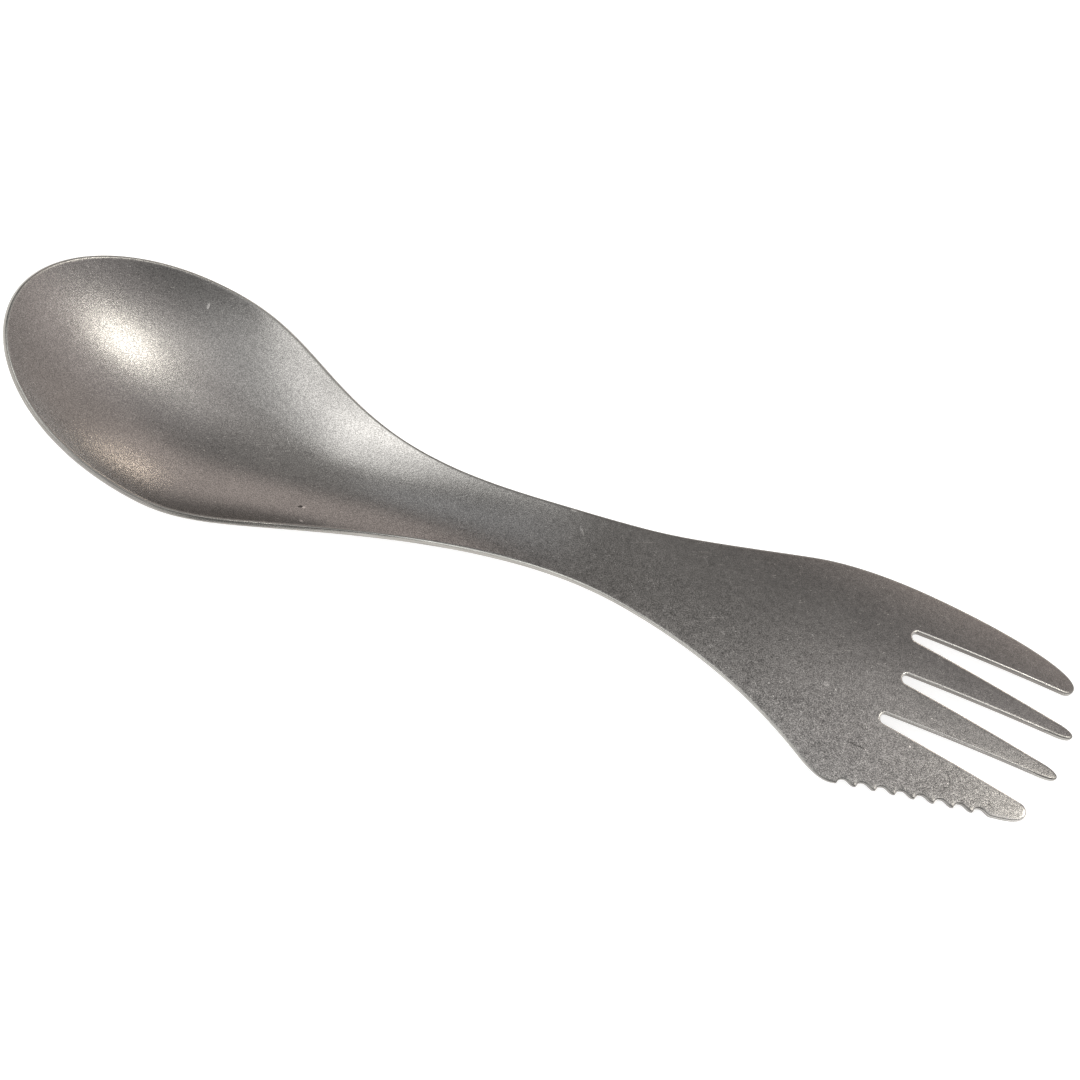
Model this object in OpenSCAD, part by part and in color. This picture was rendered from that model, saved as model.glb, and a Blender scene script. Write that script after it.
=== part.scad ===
// A spork pressed from one sheet: spoon bowl, waisted handle and a four-tined fork head
// with a saw edge down one side.
// It lies bowl upwards on a table, on the bowl's floor and the two outer tine tips.
// The nose of the bowl points to -X, the tines to +X, the saw edge to -Y.

/* [Sheet] */
// Thickness of the sheet
sheet_t = 1; // [0.8:0.05:1.3]
// Radius that tumbling leaves along every edge
edge_r = 0.28; // [0.14:0.02:0.36]

/* [Bowl] */
// Width of the bowl
bowl_w = 38; // [33:0.5:43]
// Nose of the bowl to its widest place
nose_len = 28; // [24:0.1:32]
// Widest place of the bowl to the waist of the handle
neck_len = 56.4; // [50:0.1:66]
// Height of the upper face at the nose
nose_h = 17.1; // [14:0.1:20]
// Slope of the bowl's floor at the nose, in degrees
nose_angle = 38.5; // [32:0.1:44]
// Nose of the bowl to the lowest place of its floor
dip_len = 47.6; // [42:0.1:52]
// Radius of the hollow across the bowl
bowl_r = 32.5; // [28:0.5:60]
// Radius of the hollow across the neck, where it is tightest
neck_r = 19.8; // [15:0.1:40]

/* [Handle] */
// Width of the handle at its waist
waist_w = 11.3; // [9:0.1:15]
// Height of the upper face along the top of the handle
crest_h = 9.4; // [7:0.1:12]
// Lowest place of the bowl to the start of the handle's level stretch
rise_len = 52; // [46:0.5:60]
// Length of the handle's level stretch
level_len = 8; // [4:0.5:14]

/* [Fork head] */
// Waist of the handle to the root of the middle slot
head_len = 58.5; // [52:0.1:66]
// Waist of the handle to the shoulder of the plain side
shoulder_len = 39.7; // [36:0.1:44]
// Middle line to the shoulder of the plain side
shoulder_w = 13; // [12:0.1:14.4]
// Slope of the outline at the shoulder of the plain side, in degrees
shoulder_angle = 17.4; // [12:0.1:21]
// Middle line to the plain edge at its widest
plain_w = 15.3; // [14.6:0.1:17]
// Radius of the arch across the head
arch_r = 70; // [50:1:140]
// Height of the upper face at the tips of the middle tines
tip_h = 1.27; // [1.1:0.01:4]

/* [Tines] */
// Root of the middle slot to the tips of the middle tines
tine_len = 26.7; // [24:0.1:30]
// How much shorter the outer tines are
outer_short = 2.3; // [0.5:0.1:4]
// Middle line to the tips of the outer tines
outer_tip_w = 11.2; // [10.8:0.1:12]
// Distance between the middle lines of the slots
slot_pitch = 7.32; // [6.9:0.01:7.6]
// Radius of a slot's root
slot_r = 0.8; // [0.5:0.01:0.9]
// Angle that each side of a slot opens by, in degrees
slot_angle = 4.3; // [3:0.1:4.8]
// How much nearer the handle the outer slots begin
slot_step = 0.9; // [0:0.1:2]
// Length of the rounding at a middle tine's tip
tip_len = 2.65; // [2:0.05:4]
// Length of the rounding at an outer tine's inner corner
corner_len = 1.4; // [0.8:0.05:2]

/* [Saw edge] */
// Waist of the handle to the corner where the saw edge begins
saw_len = 54.1; // [51:0.1:55.5]
// Middle line to that corner
saw_w = 19.55; // [18.5:0.05:20.5]
// Slope of the outline before that corner, in degrees
flare_angle = 28.9; // [24:0.1:33]
// Length over which the outline turns at that corner
turn_len = 5.9; // [4:0.1:7.5]
// Number of scallops
tooth_count = 8; // [5:1:8]
// Distance from crest to crest
tooth_pitch = 2.99; // [2.7:0.01:3.1]
// Depth of a scallop
tooth_depth = 0.74; // [0.4:0.02:0.9]
// Angle between the line of crests and the middle line, in degrees
tooth_angle = 13.3; // [12.5:0.1:15]
// Corner to the first scallop
tooth_lead = 1.05; // [0.6:0.05:2]

/* [Hidden] */

// How far the handles of each curve reach, as shares of the stretch that they span
nose_shares = [0.536, 0.575];
neck_shares = [0.286, 0.608];
flare_shares = [0.39, 0.527];
shoulder_shares = [0.314, 0.328];
plain_tip_shares = [0.55, 0.71];
tip_shares = [0.52, 0.595];
saw_flare_shares = [0.42, 0.27];
saw_turn_shares = [0.394, 0.305];
belly_shares = [0.48, 0.595];
// Height gained along the turn of the saw edge's corner, as a share of its length
turn_rise_share = 0.3;
// Steep side of a scallop and flat land of a tooth, as shares of the pitch
steep_share = 0.31;
land_share = 0.12;
// Strip of faces along the saw edge, as a share of the toothed tine's width
strip_share = 0.35;
// Places of the tightest hollow and of the full arch, as shares of the neck and of the head
tight_share = 0.514;
arch_share = 0.568;
// Steepest that the sheet may stand across its middle line, as a sine
steepest_share = 0.97;

// Stations along the middle line, from the nose
wide_x = nose_len;
waist_x = wide_x + neck_len;
root_x = waist_x + head_len;
tip_x = root_x + tine_len;
outer_tip_x = tip_x - outer_short;
rise_x = dip_len + rise_len;
fall_x = rise_x + level_len;
tight_x = wide_x + tight_share * neck_len;
arch_x = waist_x + arch_share * head_len;
corner_x = waist_x + saw_len;

// Rows of faces along each stretch and columns across the handle
nose_rows = 16;
neck_rows = 20;
flare_rows = 12;
turn_rows = 6;
steep_rows = 3;
flank_rows = 4;
land_rows = 1;
tooth_rows = steep_rows + flank_rows + land_rows;
lead_rows = 2;
belly_rows = 8;
root_rows = 4;
cap_rows = 5;
plain_rows = 16;
saw_rows = lead_rows + tooth_count * tooth_rows + belly_rows;
tine_rows = [plain_rows, plain_rows, plain_rows, saw_rows];
tine_columns = [4, 4, 4, 6];
tine_n = len(tine_columns);
body_rows = nose_rows + neck_rows + flare_rows + turn_rows;
columns = 18;
// Rows before the tines over which the rows bend to meet the roots of the slots
bend_rows = 8;
// Angles of the points round half an edge
round_angles = [45, 90];
// Step for measuring a slope
probe = edge_r / 10;

function sum_to(list, n) = n == 0 ? 0 : list[n - 1] + sum_to(list, n - 1);
function column_of(points, axis) = [for (p = points) p[axis]];
function reversed(list) = [for (i = [len(list) - 1 : -1 : 0]) list[i]];
function unit(v) = v / norm(v);
function heading(angle) = [cos(angle), sin(angle)];
function mirrored(points) = [for (p = points) [p[0], -p[1]]];
// The list without its first item
function rest_of(list) = [for (i = [1 : 1 : len(list) - 1]) list[i]];
// A curve with two handles, without its first point
function curve(a, b, c, d, n) = [
    for (i = [1 : n])
        let (t = i / n, s = 1 - t)
            s * s * s * a + 3 * s * s * t * b + 3 * s * t * t * c + t * t * t * d
];
function line(a, b, n) = [for (i = [1 : n]) a + (b - a) * i / n];

// A smooth step from 0 at a to 1 at b
function ease(x, a, b) =
    let (u = min(max((x - a) / (b - a), 0), 1))
        u * u * (3 - 2 * u);

// Height of the upper face along the middle line: the floor of the bowl falls from the nose
// to its lowest place, the handle rises to its level stretch and the head falls in one arc.
function floor_height(x) =
    let (u = min(max(x / dip_len, 0), 1))
        nose_h * (1 - ease(x, 0, dip_len)) + sheet_t * ease(x, 0, dip_len)
            - tan(nose_angle) * dip_len * u * (1 - u) * (1 - u);
function handle_height(x) = sheet_t + (crest_h - sheet_t) * ease(x, dip_len, rise_x);
function head_height(x) =
    let (u = max(x - fall_x, 0) / (tip_x - fall_x))
        crest_h - (crest_h - tip_h) * u * u;
function mid_height(x) =
    x < dip_len ? floor_height(x) :
    x < rise_x ? handle_height(x) : head_height(x);

// Curvature across the sheet: hollow in the bowl, tightest at the neck, arched at the head
function cross_curvature(x) =
    1 / bowl_r + (1 / neck_r - 1 / bowl_r) * ease(x, wide_x, tight_x)
        - (1 / neck_r + 1 / arch_r) * ease(x, tight_x, arch_x);

// Height of the upper face: the middle line plus a circular arc across it
function height(x, y) =
    let (c = cross_curvature(x), s = min(abs(c * y), steepest_share))
        mid_height(x) + c * y * y / (1 + sqrt(1 - s * s));

function on_face(p) = [p[0], p[1], height(p[0], p[1])];
function slope(p) = [
    (height(p[0] + probe, p[1]) - height(p[0] - probe, p[1])) / (2 * probe),
    (height(p[0], p[1] + probe) - height(p[0], p[1] - probe)) / (2 * probe)
];
function face_normal(p) =
    let (g = slope(p))
        unit([-g[0], -g[1], 1]);

// Outline of one side from the nose to the waist
nose = [0, 0];
wide_point = [wide_x, bowl_w / 2];
waist_point = [waist_x, waist_w / 2];
bowl_side = concat(
    curve(nose, [0, nose_shares[0] * bowl_w / 2],
          [(1 - nose_shares[1]) * nose_len, bowl_w / 2], wide_point, nose_rows),
    curve(wide_point, wide_point + [neck_shares[0] * neck_len, 0],
          waist_point - [neck_shares[1] * neck_len, 0], waist_point, neck_rows)
);

// Plain side from the waist over its shoulder to its widest place, level with the slots' roots
shoulder = [waist_x + shoulder_len, shoulder_w];
plain_point = [root_x, plain_w];
plain_side = concat(
    curve(waist_point, waist_point + [flare_shares[0] * shoulder_len, 0],
          shoulder - flare_shares[1] * shoulder_len * heading(shoulder_angle),
          shoulder, flare_rows),
    let (d = plain_point[0] - shoulder[0])
        curve(shoulder, shoulder + shoulder_shares[0] * d * heading(shoulder_angle),
              plain_point - [shoulder_shares[1] * d, 0], plain_point, turn_rows)
);

// Saw side from the waist to its corner, drawn as a mirror image and turned over below
saw_point = [corner_x, saw_w];
turn_point = saw_point - turn_len * [1, turn_rise_share];
saw_side = concat(
    let (d = turn_point[0] - waist_x)
        curve(waist_point, waist_point + [saw_flare_shares[0] * d, 0],
              turn_point - saw_flare_shares[1] * d * heading(flare_angle),
              turn_point, flare_rows),
    curve(turn_point, turn_point + saw_turn_shares[0] * turn_len * heading(flare_angle),
          saw_point - saw_turn_shares[1] * turn_len * heading(-tooth_angle / 2),
          saw_point, turn_rows)
);

// One side of a slot from its root to the tip of the tine beside it
function slot_side(axis_y, start_x, side, corner, tip, rows) =
    let (
        centre = [start_x + slot_r, axis_y],
        root = [start_x, axis_y],
        tangent = heading(side * slot_angle),
        leave = centre + slot_r * [-sin(slot_angle), side * cos(slot_angle)],
        end = leave + tangent * (tip[0] - corner - leave[0]) / cos(slot_angle),
        arc = [
            for (i = [1 : root_rows])
                let (a = 180 - (90 - slot_angle) * i / root_rows)
                    centre + slot_r * [cos(a), side * sin(a)]
        ]
    )
    concat(
        [root], arc, line(leave, end, rows - root_rows - cap_rows),
        curve(end, end + tangent * tip_shares[0] * corner,
              tip + [0, tip_shares[1] * (end[1] - tip[1])], tip, cap_rows)
    );

// One scallop, from the corner of a tooth to the corner of the next: a round steep side like
// a quarter of an ellipse, a long flank and a short flat land. Each place is the distance
// along the pitch and the depth, both as shares.
scallop_shares = concat(
    [
        for (i = [1 : steep_rows])
            let (a = 90 * i / steep_rows)
                [steep_share * (1 - cos(a)), sin(a)]
    ],
    [
        for (i = [1 : flank_rows])
            let (u = i / flank_rows)
                [steep_share + (1 - land_share - steep_share) * u, (1 + cos(180 * u)) / 2]
    ],
    [for (i = [1 : land_rows]) [1 - land_share + land_share * i / land_rows, 0]]
);
// Depth of the cut at each row of the saw edge, and the way out of it square to the crests
saw_cuts = concat(
    [for (i = [0 : lead_rows]) 0],
    [for (k = [0 : tooth_count - 1]) for (s = scallop_shares) tooth_depth * s[1]],
    [for (i = [1 : belly_rows]) 0]
);
saw_out = [sin(tooth_angle), -cos(tooth_angle)];

// Scalloped line of teeth from the corner, then the smooth belly to the tip
function saw_edge(corner, tip) =
    let (
        along = heading(-tooth_angle),
        across = [along[1], -along[0]],
        first = corner + tooth_lead * along,
        last = first + tooth_count * tooth_pitch * along,
        reach = tip[0] - last[0]
    )
    concat(
        [corner], line(corner, first, lead_rows),
        [
            for (k = [0 : tooth_count - 1]) for (s = scallop_shares)
                first + tooth_pitch * (k + s[0]) * along + tooth_depth * s[1] * across
        ],
        curve(last, last + belly_shares[0] * reach * along,
              tip + [0, belly_shares[1] * (last[1] - tip[1])], tip, belly_rows)
    );

// Edges of each tine from root to tip: first the +Y side, then the -Y side
outer_tip = [outer_tip_x, outer_tip_w];
inner_tip = [tip_x, slot_pitch / 2];
outer_root_x = root_x - slot_step;
plain_reach = outer_tip - plain_point;
tine_left = [
    concat([plain_point],
           curve(plain_point, plain_point + [plain_tip_shares[0] * plain_reach[0], 0],
                 outer_tip - [0, plain_tip_shares[1] * plain_reach[1]],
                 outer_tip, plain_rows)),
    slot_side(slot_pitch, outer_root_x, -1, tip_len, inner_tip, plain_rows),
    slot_side(0, root_x, -1, tip_len, mirrored([inner_tip])[0], plain_rows),
    slot_side(-slot_pitch, outer_root_x, -1, corner_len, mirrored([outer_tip])[0], saw_rows)
];
tine_right = [
    slot_side(slot_pitch, outer_root_x, 1, corner_len, outer_tip, plain_rows),
    slot_side(0, root_x, 1, tip_len, inner_tip, plain_rows),
    slot_side(-slot_pitch, outer_root_x, 1, tip_len, mirrored([inner_tip])[0], plain_rows),
    mirrored(saw_edge(saw_point, outer_tip))
];

// The whole outline, clockwise from the nose as seen from above
left_side = concat(bowl_side, plain_side);
right_side = concat(mirrored(bowl_side), mirrored(saw_side));
outline = concat(
    [nose], left_side,
    [
        for (k = [0 : tine_n - 1])
            each concat(rest_of(tine_left[k]), rest_of(reversed(tine_right[k])))
    ],
    rest_of(reversed(right_side))
);
outline_n = len(outline);
function along_outline(i) =
    unit(outline[(i + 1) % outline_n] - outline[(i + outline_n - 1) % outline_n]);
// The outline drawn in by the edge radius, where the flat of the sheet ends
inset = [
    for (i = [0 : outline_n - 1])
        let (t = along_outline(i))
            outline[i] - edge_r * [-t[1], t[0]]
];

// Place in the outline of each tine's first point, and of the saw edge's corner
function tine_start(k) = body_rows + 2 * sum_to(tine_rows, k);
function left_point(i) = inset[i];
function right_point(i) = inset[(tine_start(tine_n) + body_rows - i) % outline_n];
// Places across a tine. The toothed one has straight rows too, as far as a smooth strip along
// its edge, and crosses the strip square to the line of crests.
function tine_row(k, i, j) =
    let (
        a = inset[tine_start(k) + i],
        b = inset[tine_start(k) + 2 * tine_rows[k] - i],
        toothed = k == tine_n - 1,
        crest = toothed ? b + saw_cuts[i] * saw_out : b,
        far = toothed ? crest - strip_share * norm(crest - a) * saw_out : b,
        n = toothed ? tine_columns[k] - 1 : tine_columns[k]
    )
    j > n ? b : a + (far - a) * j / n;

// Faces of the body: rows run from the left edge to the right edge, and the last rows bend
// so that the final one passes through the roots of the slots
last_row = concat(
    [for (k = [0 : tine_n - 1]) for (j = [0 : tine_columns[k] - 1]) tine_row(k, 0, j)],
    [right_point(body_rows)]
);
function straight_row(i, j) =
    left_point(i) + (right_point(i) - left_point(i)) * j / columns;
function body_point(i, j) =
    straight_row(i, j)
        + ease(i, body_rows - bend_rows, body_rows)
            * (last_row[j] - straight_row(body_rows, j));

// Plan places of every point on the flat of the sheet, and their numbers
body_plan = concat(
    [inset[0]],
    [for (i = [1 : body_rows]) for (j = [0 : columns]) body_point(i, j)]
);
function tine_plan(k) = concat(
    [for (i = [1 : tine_rows[k] - 1]) for (j = [0 : tine_columns[k]]) tine_row(k, i, j)],
    [tine_row(k, tine_rows[k], 0)]
);
tine_plans = [for (k = [0 : tine_n - 1]) tine_plan(k)];
plan = concat(body_plan, [for (k = [0 : tine_n - 1]) each tine_plans[k]]);
plan_n = len(plan);
tine_sizes = [for (k = [0 : tine_n - 1]) len(tine_plans[k])];
function body_number(i, j) = i == 0 ? 0 : 1 + (i - 1) * (columns + 1) + j;
function tine_number(k, i, j) =
    i == 0 ? body_number(body_rows, sum_to(tine_columns, k) + j) :
    len(body_plan) + sum_to(tine_sizes, k)
        + (i == tine_rows[k] ? tine_sizes[k] - 1 : (i - 1) * (tine_columns[k] + 1) + j);
function quad(a, b, c, d) = [if (a != d) [a, c, d], if (b != c || a == d) [a, b, c]];
upper_faces = concat(
    [
        for (i = [0 : body_rows - 1]) for (j = [0 : columns - 1])
            each quad(body_number(i, j), body_number(i + 1, j),
                      body_number(i + 1, j + 1), body_number(i, j + 1))
    ],
    [
        for (k = [0 : tine_n - 1]) for (i = [0 : tine_rows[k] - 1]) for (j = [0 : tine_columns[k] - 1])
            each quad(tine_number(k, i, j), tine_number(k, i + 1, j),
                      tine_number(k, i + 1, j + 1), tine_number(k, i, j + 1))
    ]
);
lower_faces = [for (f = upper_faces) [for (q = reversed(f)) q + plan_n]];

// Numbers of the flat's points along the outline
rim_numbers = concat(
    [for (i = [0 : body_rows]) body_number(i, 0)],
    [
        for (k = [0 : tine_n - 1])
            each concat(
                [for (i = [1 : tine_rows[k]]) tine_number(k, i, 0)],
                [for (i = [tine_rows[k] - 1 : -1 : 0]) tine_number(k, i, tine_columns[k])]
            )
    ],
    [for (i = [body_rows - 1 : -1 : 1]) body_number(i, columns)]
);

// The rounded edge: rings of points swept along the whole outline, from the upper face
// round to the lower one
function edge_ring(angle, depth, way) = [
    for (i = [0 : outline_n - 1])
        let (
            p = inset[i],
            g = slope(p),
            n = unit([-g[0], -g[1], 1]),
            t = along_outline(i),
            out = unit(cross(n, [t[0], t[1], g * t]))
        )
        on_face(p) - depth * n + edge_r * (sin(angle) * out + way * cos(angle) * n)
];
rings = concat(
    [for (a = round_angles) edge_ring(a, edge_r, 1)],
    [for (a = reversed(round_angles)) edge_ring(a, sheet_t - edge_r, -1)]
);
ring_n = len(rings);
function ring_number(k, i) =
    let (m = i % outline_n)
        k == 0 ? rim_numbers[m] :
        k == ring_n + 1 ? rim_numbers[m] + plan_n : 2 * plan_n + (k - 1) * outline_n + m;
edge_faces = [
    for (k = [0 : ring_n]) for (i = [0 : outline_n - 1])
        each [
            [ring_number(k, i + 1), ring_number(k, i), ring_number(k + 1, i)],
            [ring_number(k, i + 1), ring_number(k + 1, i), ring_number(k + 1, i + 1)]
        ]
];

upper_points = [for (p = plan) on_face(p)];
lower_points = [for (p = plan) on_face(p) - sheet_t * face_normal(p)];
all_points = concat(upper_points, lower_points, [for (r = rings) each r]);

// The origin is under the middle of the object, on the table
function middle(axis) =
    let (c = column_of(all_points, axis))
        (min(c) + max(c)) / 2;
origin = [middle(0), middle(1), min(column_of(all_points, 2))];

// The one piece: the blank is cut, slotted and scalloped flat, then pressed to shape
module spork() {
    color("#8a857f")
        translate(-origin)
            polyhedron(
                points = all_points,
                faces = concat(upper_faces, lower_faces, edge_faces),
                convexity = 8
            );
}

spork();
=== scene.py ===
# The look of a camping spork pressed from one titanium sheet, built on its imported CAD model
import bpy
import numpy as np
from mathutils import Matrix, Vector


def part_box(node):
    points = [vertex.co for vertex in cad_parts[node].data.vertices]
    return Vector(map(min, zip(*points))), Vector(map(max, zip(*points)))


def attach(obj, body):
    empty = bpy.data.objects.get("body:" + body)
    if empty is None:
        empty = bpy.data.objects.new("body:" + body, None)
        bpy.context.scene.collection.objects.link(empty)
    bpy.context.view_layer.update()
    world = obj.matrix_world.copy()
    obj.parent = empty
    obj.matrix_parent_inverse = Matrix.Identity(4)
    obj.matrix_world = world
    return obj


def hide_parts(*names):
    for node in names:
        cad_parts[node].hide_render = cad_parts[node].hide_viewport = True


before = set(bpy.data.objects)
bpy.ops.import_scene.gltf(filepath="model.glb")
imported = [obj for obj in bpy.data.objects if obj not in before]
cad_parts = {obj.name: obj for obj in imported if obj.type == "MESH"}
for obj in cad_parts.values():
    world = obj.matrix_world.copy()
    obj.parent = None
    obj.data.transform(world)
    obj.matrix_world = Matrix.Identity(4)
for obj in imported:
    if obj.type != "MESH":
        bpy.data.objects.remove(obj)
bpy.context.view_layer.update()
mm = 0.001
print("stage: the packed model is loaded")

# Sizes of the blank and of the pressed form, in millimetres and degrees. Each "...Reach" is how
# far the two handles of a curve reach, as shares of the stretch that it spans.
spork = {
    "sheet": 1.0, "edgeRadius": 0.28,
    "bowlWidth": 38.0, "noseLength": 28.0, "neckLength": 56.4,
    "noseHeight": 17.1, "noseAngle": 38.5, "dipLength": 47.6,
    "bowlRadius": 32.5, "neckRadius": 19.8, "tightShare": 0.514,
    "noseReach": (0.536, 0.575), "neckReach": (0.286, 0.608),
    "waistWidth": 11.3, "crestHeight": 9.4, "riseLength": 52.0, "levelLength": 8.0,
    "headLength": 58.5, "shoulderLength": 39.7, "shoulderWidth": 13.0, "shoulderAngle": 17.4,
    "plainWidth": 15.3, "archRadius": 70.0, "archShare": 0.568, "tipHeight": 1.27,
    "flareReach": (0.39, 0.527), "shoulderReach": (0.314, 0.328),
    "tineLength": 26.7, "outerShort": 2.3, "outerTipWidth": 11.2,
    "slotPitch": 7.32, "slotRadius": 0.8, "slotAngle": 4.3, "slotStep": 0.9,
    "tipLength": 2.65, "cornerLength": 1.4,
    "plainTipReach": (0.55, 0.71), "tipReach": (0.52, 0.595),
    "sawLength": 54.1, "sawWidth": 19.55, "flareAngle": 28.9, "turnLength": 5.9, "turnRise": 0.3,
    "sawFlareReach": (0.42, 0.27), "sawTurnReach": (0.394, 0.305), "bellyReach": (0.48, 0.595),
    "toothCount": 8, "toothPitch": 2.99, "toothDepth": 0.74, "toothAngle": 13.3, "toothLead": 1.05,
    "steepShare": 0.31, "landShare": 0.12,
    "cornerAngle": 15.0,           # where a tooth's worn corner runs into its round steep side
    # The upper face's margin, drawn down by the punch: wider on the saw side, where the teeth's
    # steep sides and the belly catch the lamps and also carry a painted highlight, and gentler along
    # the belly
    "rollWidth": 0.22, "sawRollWidth": 0.5, "rollAngle": 24.0, "bellyRollAngle": 14.0,
    # How squarely a tooth's side faces the tips, and the main lamp with them: from none to the full painted
    # highlight on its rim
    "highlightFacing": (0.2, 0.7),    # how squarely a tooth's side faces the tips, from dull to bright
    "steepest": 0.97,              # the most that the sheet may stand up across itself, as a sine
}

# Rows and columns of the mesh along each stretch of the sheet, and where a margin has its steps
rows = {
    "nose": 64, "neck": 84, "flare": 92, "turn": 34, "bend": 42,
    "lead": 6, "corner": 4, "steep": 6, "flank": 8, "land": 1, "belly": 34,
    "root": 14, "cap": 18, "plain": 66, "tineColumns": (16, 16, 16, 24),
    "stripShare": 0.35, "stripColumns": 8, "edgeSteps": 6,
    "marginShares": (0, 0.15, 0.35, 0.62, 1),
    "widestMargin": 0.3,           # the most of a row that one margin takes, as a share
    "leastSpan": 2.8e-7,           # keeps a row of no width from dividing by zero
    "blockSize": 1000,             # points whose distances are worked out at once
}
bodyRows = rows["nose"] + rows["neck"] + rows["flare"] + rows["turn"]
mirrored = np.array([1.0, -1.0])   # times this, a place crosses the middle line


# Even shares of a stretch, from the first step to 1
def steps(count):
    return np.arange(1, count + 1) / count


# The direction in plan at an angle from the middle line: its cosine and its sine
def heading(angle):
    return np.array([np.cos(np.radians(angle)), np.sin(np.radians(angle))])


# Vectors at length 1: each over its own length
def unit(v):
    return v / np.linalg.norm(v, axis=-1, keepdims=True)


# A smooth step from 0 at a to 1 at b: three times the square less twice the cube
def ease(x, a, b):
    u = np.clip((x - a) / (b - a), 0, 1)
    return u * u * (3 - 2 * u)


# A cubic curve from a to d with handles b and c, without its first point. A closing curve has its
# points ever closer together towards d.
def curve(a, b, c, d, count, closing=False):
    t = steps(count)[:, None]
    if closing:
        t = 1 - (1 - t) ** 2
    s = 1 - t
    a, b, c, d = (np.asarray(p, float) for p in (a, b, c, d))
    return s ** 3 * a + 3 * s * s * t * b + 3 * s * t * t * c + t ** 3 * d


# Even points of a straight line from a to b, without its first point
def straight(a, b, count):
    return a + (b - a) * steps(count)[:, None]


# Stations along the middle line, measured from the nose
def stationsOf(s):
    waist = s["noseLength"] + s["neckLength"]
    root = waist + s["headLength"]
    rise = s["dipLength"] + s["riseLength"]
    return {
        "waist": waist, "root": root, "tip": root + s["tineLength"],
        "outerTip": root + s["tineLength"] - s["outerShort"],
        "rise": rise, "fall": rise + s["levelLength"],
        "tight": s["noseLength"] + s["tightShare"] * s["neckLength"],
        "arch": waist + s["archShare"] * s["headLength"],
        "corner": waist + s["sawLength"],
        "belly": waist + s["sawLength"] + s["toothLead"] + s["toothCount"] * s["toothPitch"],
    }


at = stationsOf(spork)


# Plan places where the curves of the outline meet. All are given on the plain side, and the saw
# side's are mirrored when the outline is put together.
def cornersOf(s):
    waist = np.array([at["waist"], s["waistWidth"] / 2])
    saw = np.array([at["corner"], s["sawWidth"]])
    return {
        "nose": np.zeros(2), "wide": np.array([s["noseLength"], s["bowlWidth"] / 2]), "waist": waist,
        "shoulder": waist + [s["shoulderLength"], s["shoulderWidth"] - waist[1]],
        "plain": np.array([at["root"], s["plainWidth"]]),
        "turn": saw - s["turnLength"] * np.array([1, s["turnRise"]]), "saw": saw,
        "outerTip": np.array([at["outerTip"], s["outerTipWidth"]]),
        "innerTip": np.array([at["tip"], s["slotPitch"] / 2]),
    }


corners = cornersOf(spork)


# Height of the upper face on the middle line: a cubic floor from the nose to the lowest place,
# a smooth rise to the level stretch of the handle, then one parabola down to the tips
def midHeight(x):
    s = spork
    u = np.clip(x / s["dipLength"], 0, 1)
    drop = ease(x, 0, s["dipLength"])
    floor = (s["noseHeight"] * (1 - drop) + s["sheet"] * drop
             - np.tan(np.radians(s["noseAngle"])) * s["dipLength"] * u * (1 - u) ** 2)
    handle = s["sheet"] + (s["crestHeight"] - s["sheet"]) * ease(x, s["dipLength"], at["rise"])
    w = np.maximum(x - at["fall"], 0) / (at["tip"] - at["fall"])
    head = s["crestHeight"] - (s["crestHeight"] - s["tipHeight"]) * w * w
    return np.where(x < s["dipLength"], floor, np.where(x < at["rise"], handle, head))


# Curvature across the sheet: hollow in the bowl, tightest at the neck, arched at the fork head
def crossCurvature(x):
    bowl, neck, arch = (1 / spork[n] for n in ("bowlRadius", "neckRadius", "archRadius"))
    return (bowl + (neck - bowl) * ease(x, spork["noseLength"], at["tight"])
            - (neck + arch) * ease(x, at["tight"], at["arch"]))


# Height of the upper face at plan places: the middle line plus a circular arc across it
def height(p):
    c = crossCurvature(p[..., 0])
    sine = np.minimum(np.abs(c * p[..., 1]), spork["steepest"])
    return midHeight(p[..., 0]) + c * p[..., 1] ** 2 / (1 + np.sqrt(1 - sine * sine))


# Slope of the upper face along X and Y, from the heights a tenth of the edge's radius either way
def slope(p):
    step = spork["edgeRadius"] / 10
    x, y = np.array([step, 0.0]), np.array([0.0, step])
    return np.stack([height(p + x) - height(p - x), height(p + y) - height(p - y)], -1) / (2 * step)


# Plan places lifted onto the upper face
def onFace(p):
    return np.concatenate([p, height(p)[..., None]], -1)


# Normal of the upper face: up by 1 and against each slope
def faceNormal(p):
    g = slope(p)
    return unit(np.concatenate([-g, np.ones(g.shape[:-1] + (1,))], -1))


# One side of the bowl and the neck: a curve from the nose to the widest place, and one from
# there to the waist
def bowlSide():
    nose, wide, waist = (corners[n] for n in ("nose", "wide", "waist"))
    bowl, neck, length = spork["noseReach"], spork["neckReach"], spork["neckLength"]
    return np.concatenate([
        curve(nose, [0, bowl[0] * wide[1]], [(1 - bowl[1]) * wide[0], wide[1]], wide, rows["nose"]),
        curve(wide, wide + [neck[0] * length, 0], waist - [neck[1] * length, 0], waist, rows["neck"])])


# The plain side from the waist: the flare to the shoulder, and the turn to the root of its tine
def plainSide():
    waist, shoulder, plain = (corners[n] for n in ("waist", "shoulder", "plain"))
    flare, turn, length = spork["flareReach"], spork["shoulderReach"], spork["shoulderLength"]
    lean, span = heading(spork["shoulderAngle"]), plain[0] - shoulder[0]
    return np.concatenate([
        curve(waist, waist + [flare[0] * length, 0], shoulder - flare[1] * length * lean, shoulder,
              rows["flare"]),
        curve(shoulder, shoulder + turn[0] * span * lean, plain - [turn[1] * span, 0], plain,
              rows["turn"], closing=True)])


# The saw side from the waist: the flare, and the tight turn to the corner where the saw starts
def sawSide():
    waist, turn, saw = (corners[n] for n in ("waist", "turn", "saw"))
    flare, tight, length = spork["sawFlareReach"], spork["sawTurnReach"], spork["turnLength"]
    lean, span = heading(spork["flareAngle"]), turn[0] - waist[0]
    ending = heading(-spork["toothAngle"] / 2)
    return np.concatenate([
        curve(waist, waist + [flare[0] * span, 0], turn - flare[1] * span * lean, turn, rows["flare"]),
        curve(turn, turn + tight[0] * length * lean, saw - tight[1] * length * ending, saw,
              rows["turn"], closing=True)])


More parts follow.
